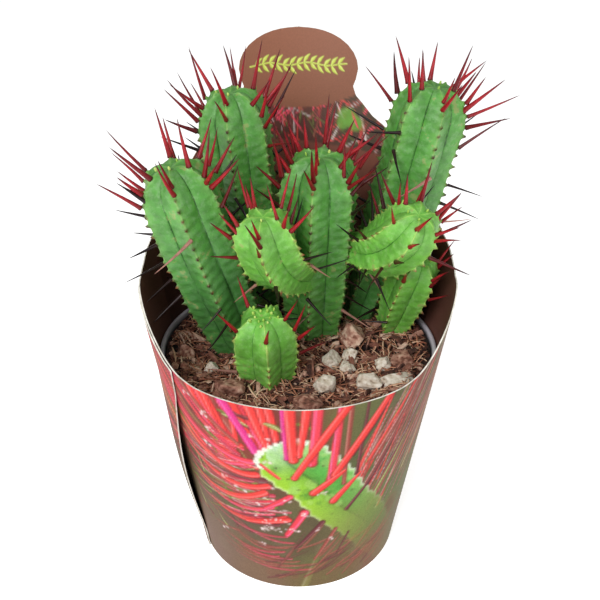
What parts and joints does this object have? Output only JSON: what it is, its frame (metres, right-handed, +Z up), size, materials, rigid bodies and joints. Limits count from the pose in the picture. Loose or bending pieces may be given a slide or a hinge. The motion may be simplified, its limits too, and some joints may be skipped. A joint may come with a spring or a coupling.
{
  "type": "potted euphorbia",
  "caption": "Spiny ribbed succulent with a clump of upright stems in a round nursery pot, standing in a printed card sleeve with a tall round-headed back.",
  "frame": {"origin": "centre of the pot's foot, on the surface that it stands on", "axes": "+Z up; -Y is the front, where the card is low; +Y is the card's tall back with the round head; +X is to the right seen from the front"},
  "size_m": [0.1221, 0.1004, 0.1627],
  "materials": {
    "card": "thin coated card, colour print outside and plain brown inside",
    "pot": "thin dark thermoformed plastic, faint sheen",
    "soil": "fibrous brown coir and peat mix, dry on top",
    "stem": "waxy mature green flesh with crimson to black spines",
    "young_stem": "waxy bright green young flesh with crimson spines",
    "pumice": "pale porous pumice grit",
    "bark": "reddish brown bark and peat lumps"
  },
  "bodies": {
    "root": {"card_sleeve": "card", "nursery_pot": "pot", "soil": "soil", "stem_left": "stem", "stem_back_left": "stem", "stem_centre": "stem", "stem_back_right": "stem", "stem_low_right": "young_stem", "stem_front": "young_stem", "branch_left": "young_stem", "branch_right": "young_stem", "pumice_1": "pumice", "pumice_2": "pumice", "pumice_3": "pumice", "pumice_4": "pumice", "pumice_5": "pumice", "pumice_6": "pumice", "pumice_7": "pumice", "pumice_8": "pumice", "bark_nugget": "bark", "bark_1": "bark", "bark_2": "bark", "bark_3": "bark", "bark_4": "bark"}
  },
  "joints": []
}
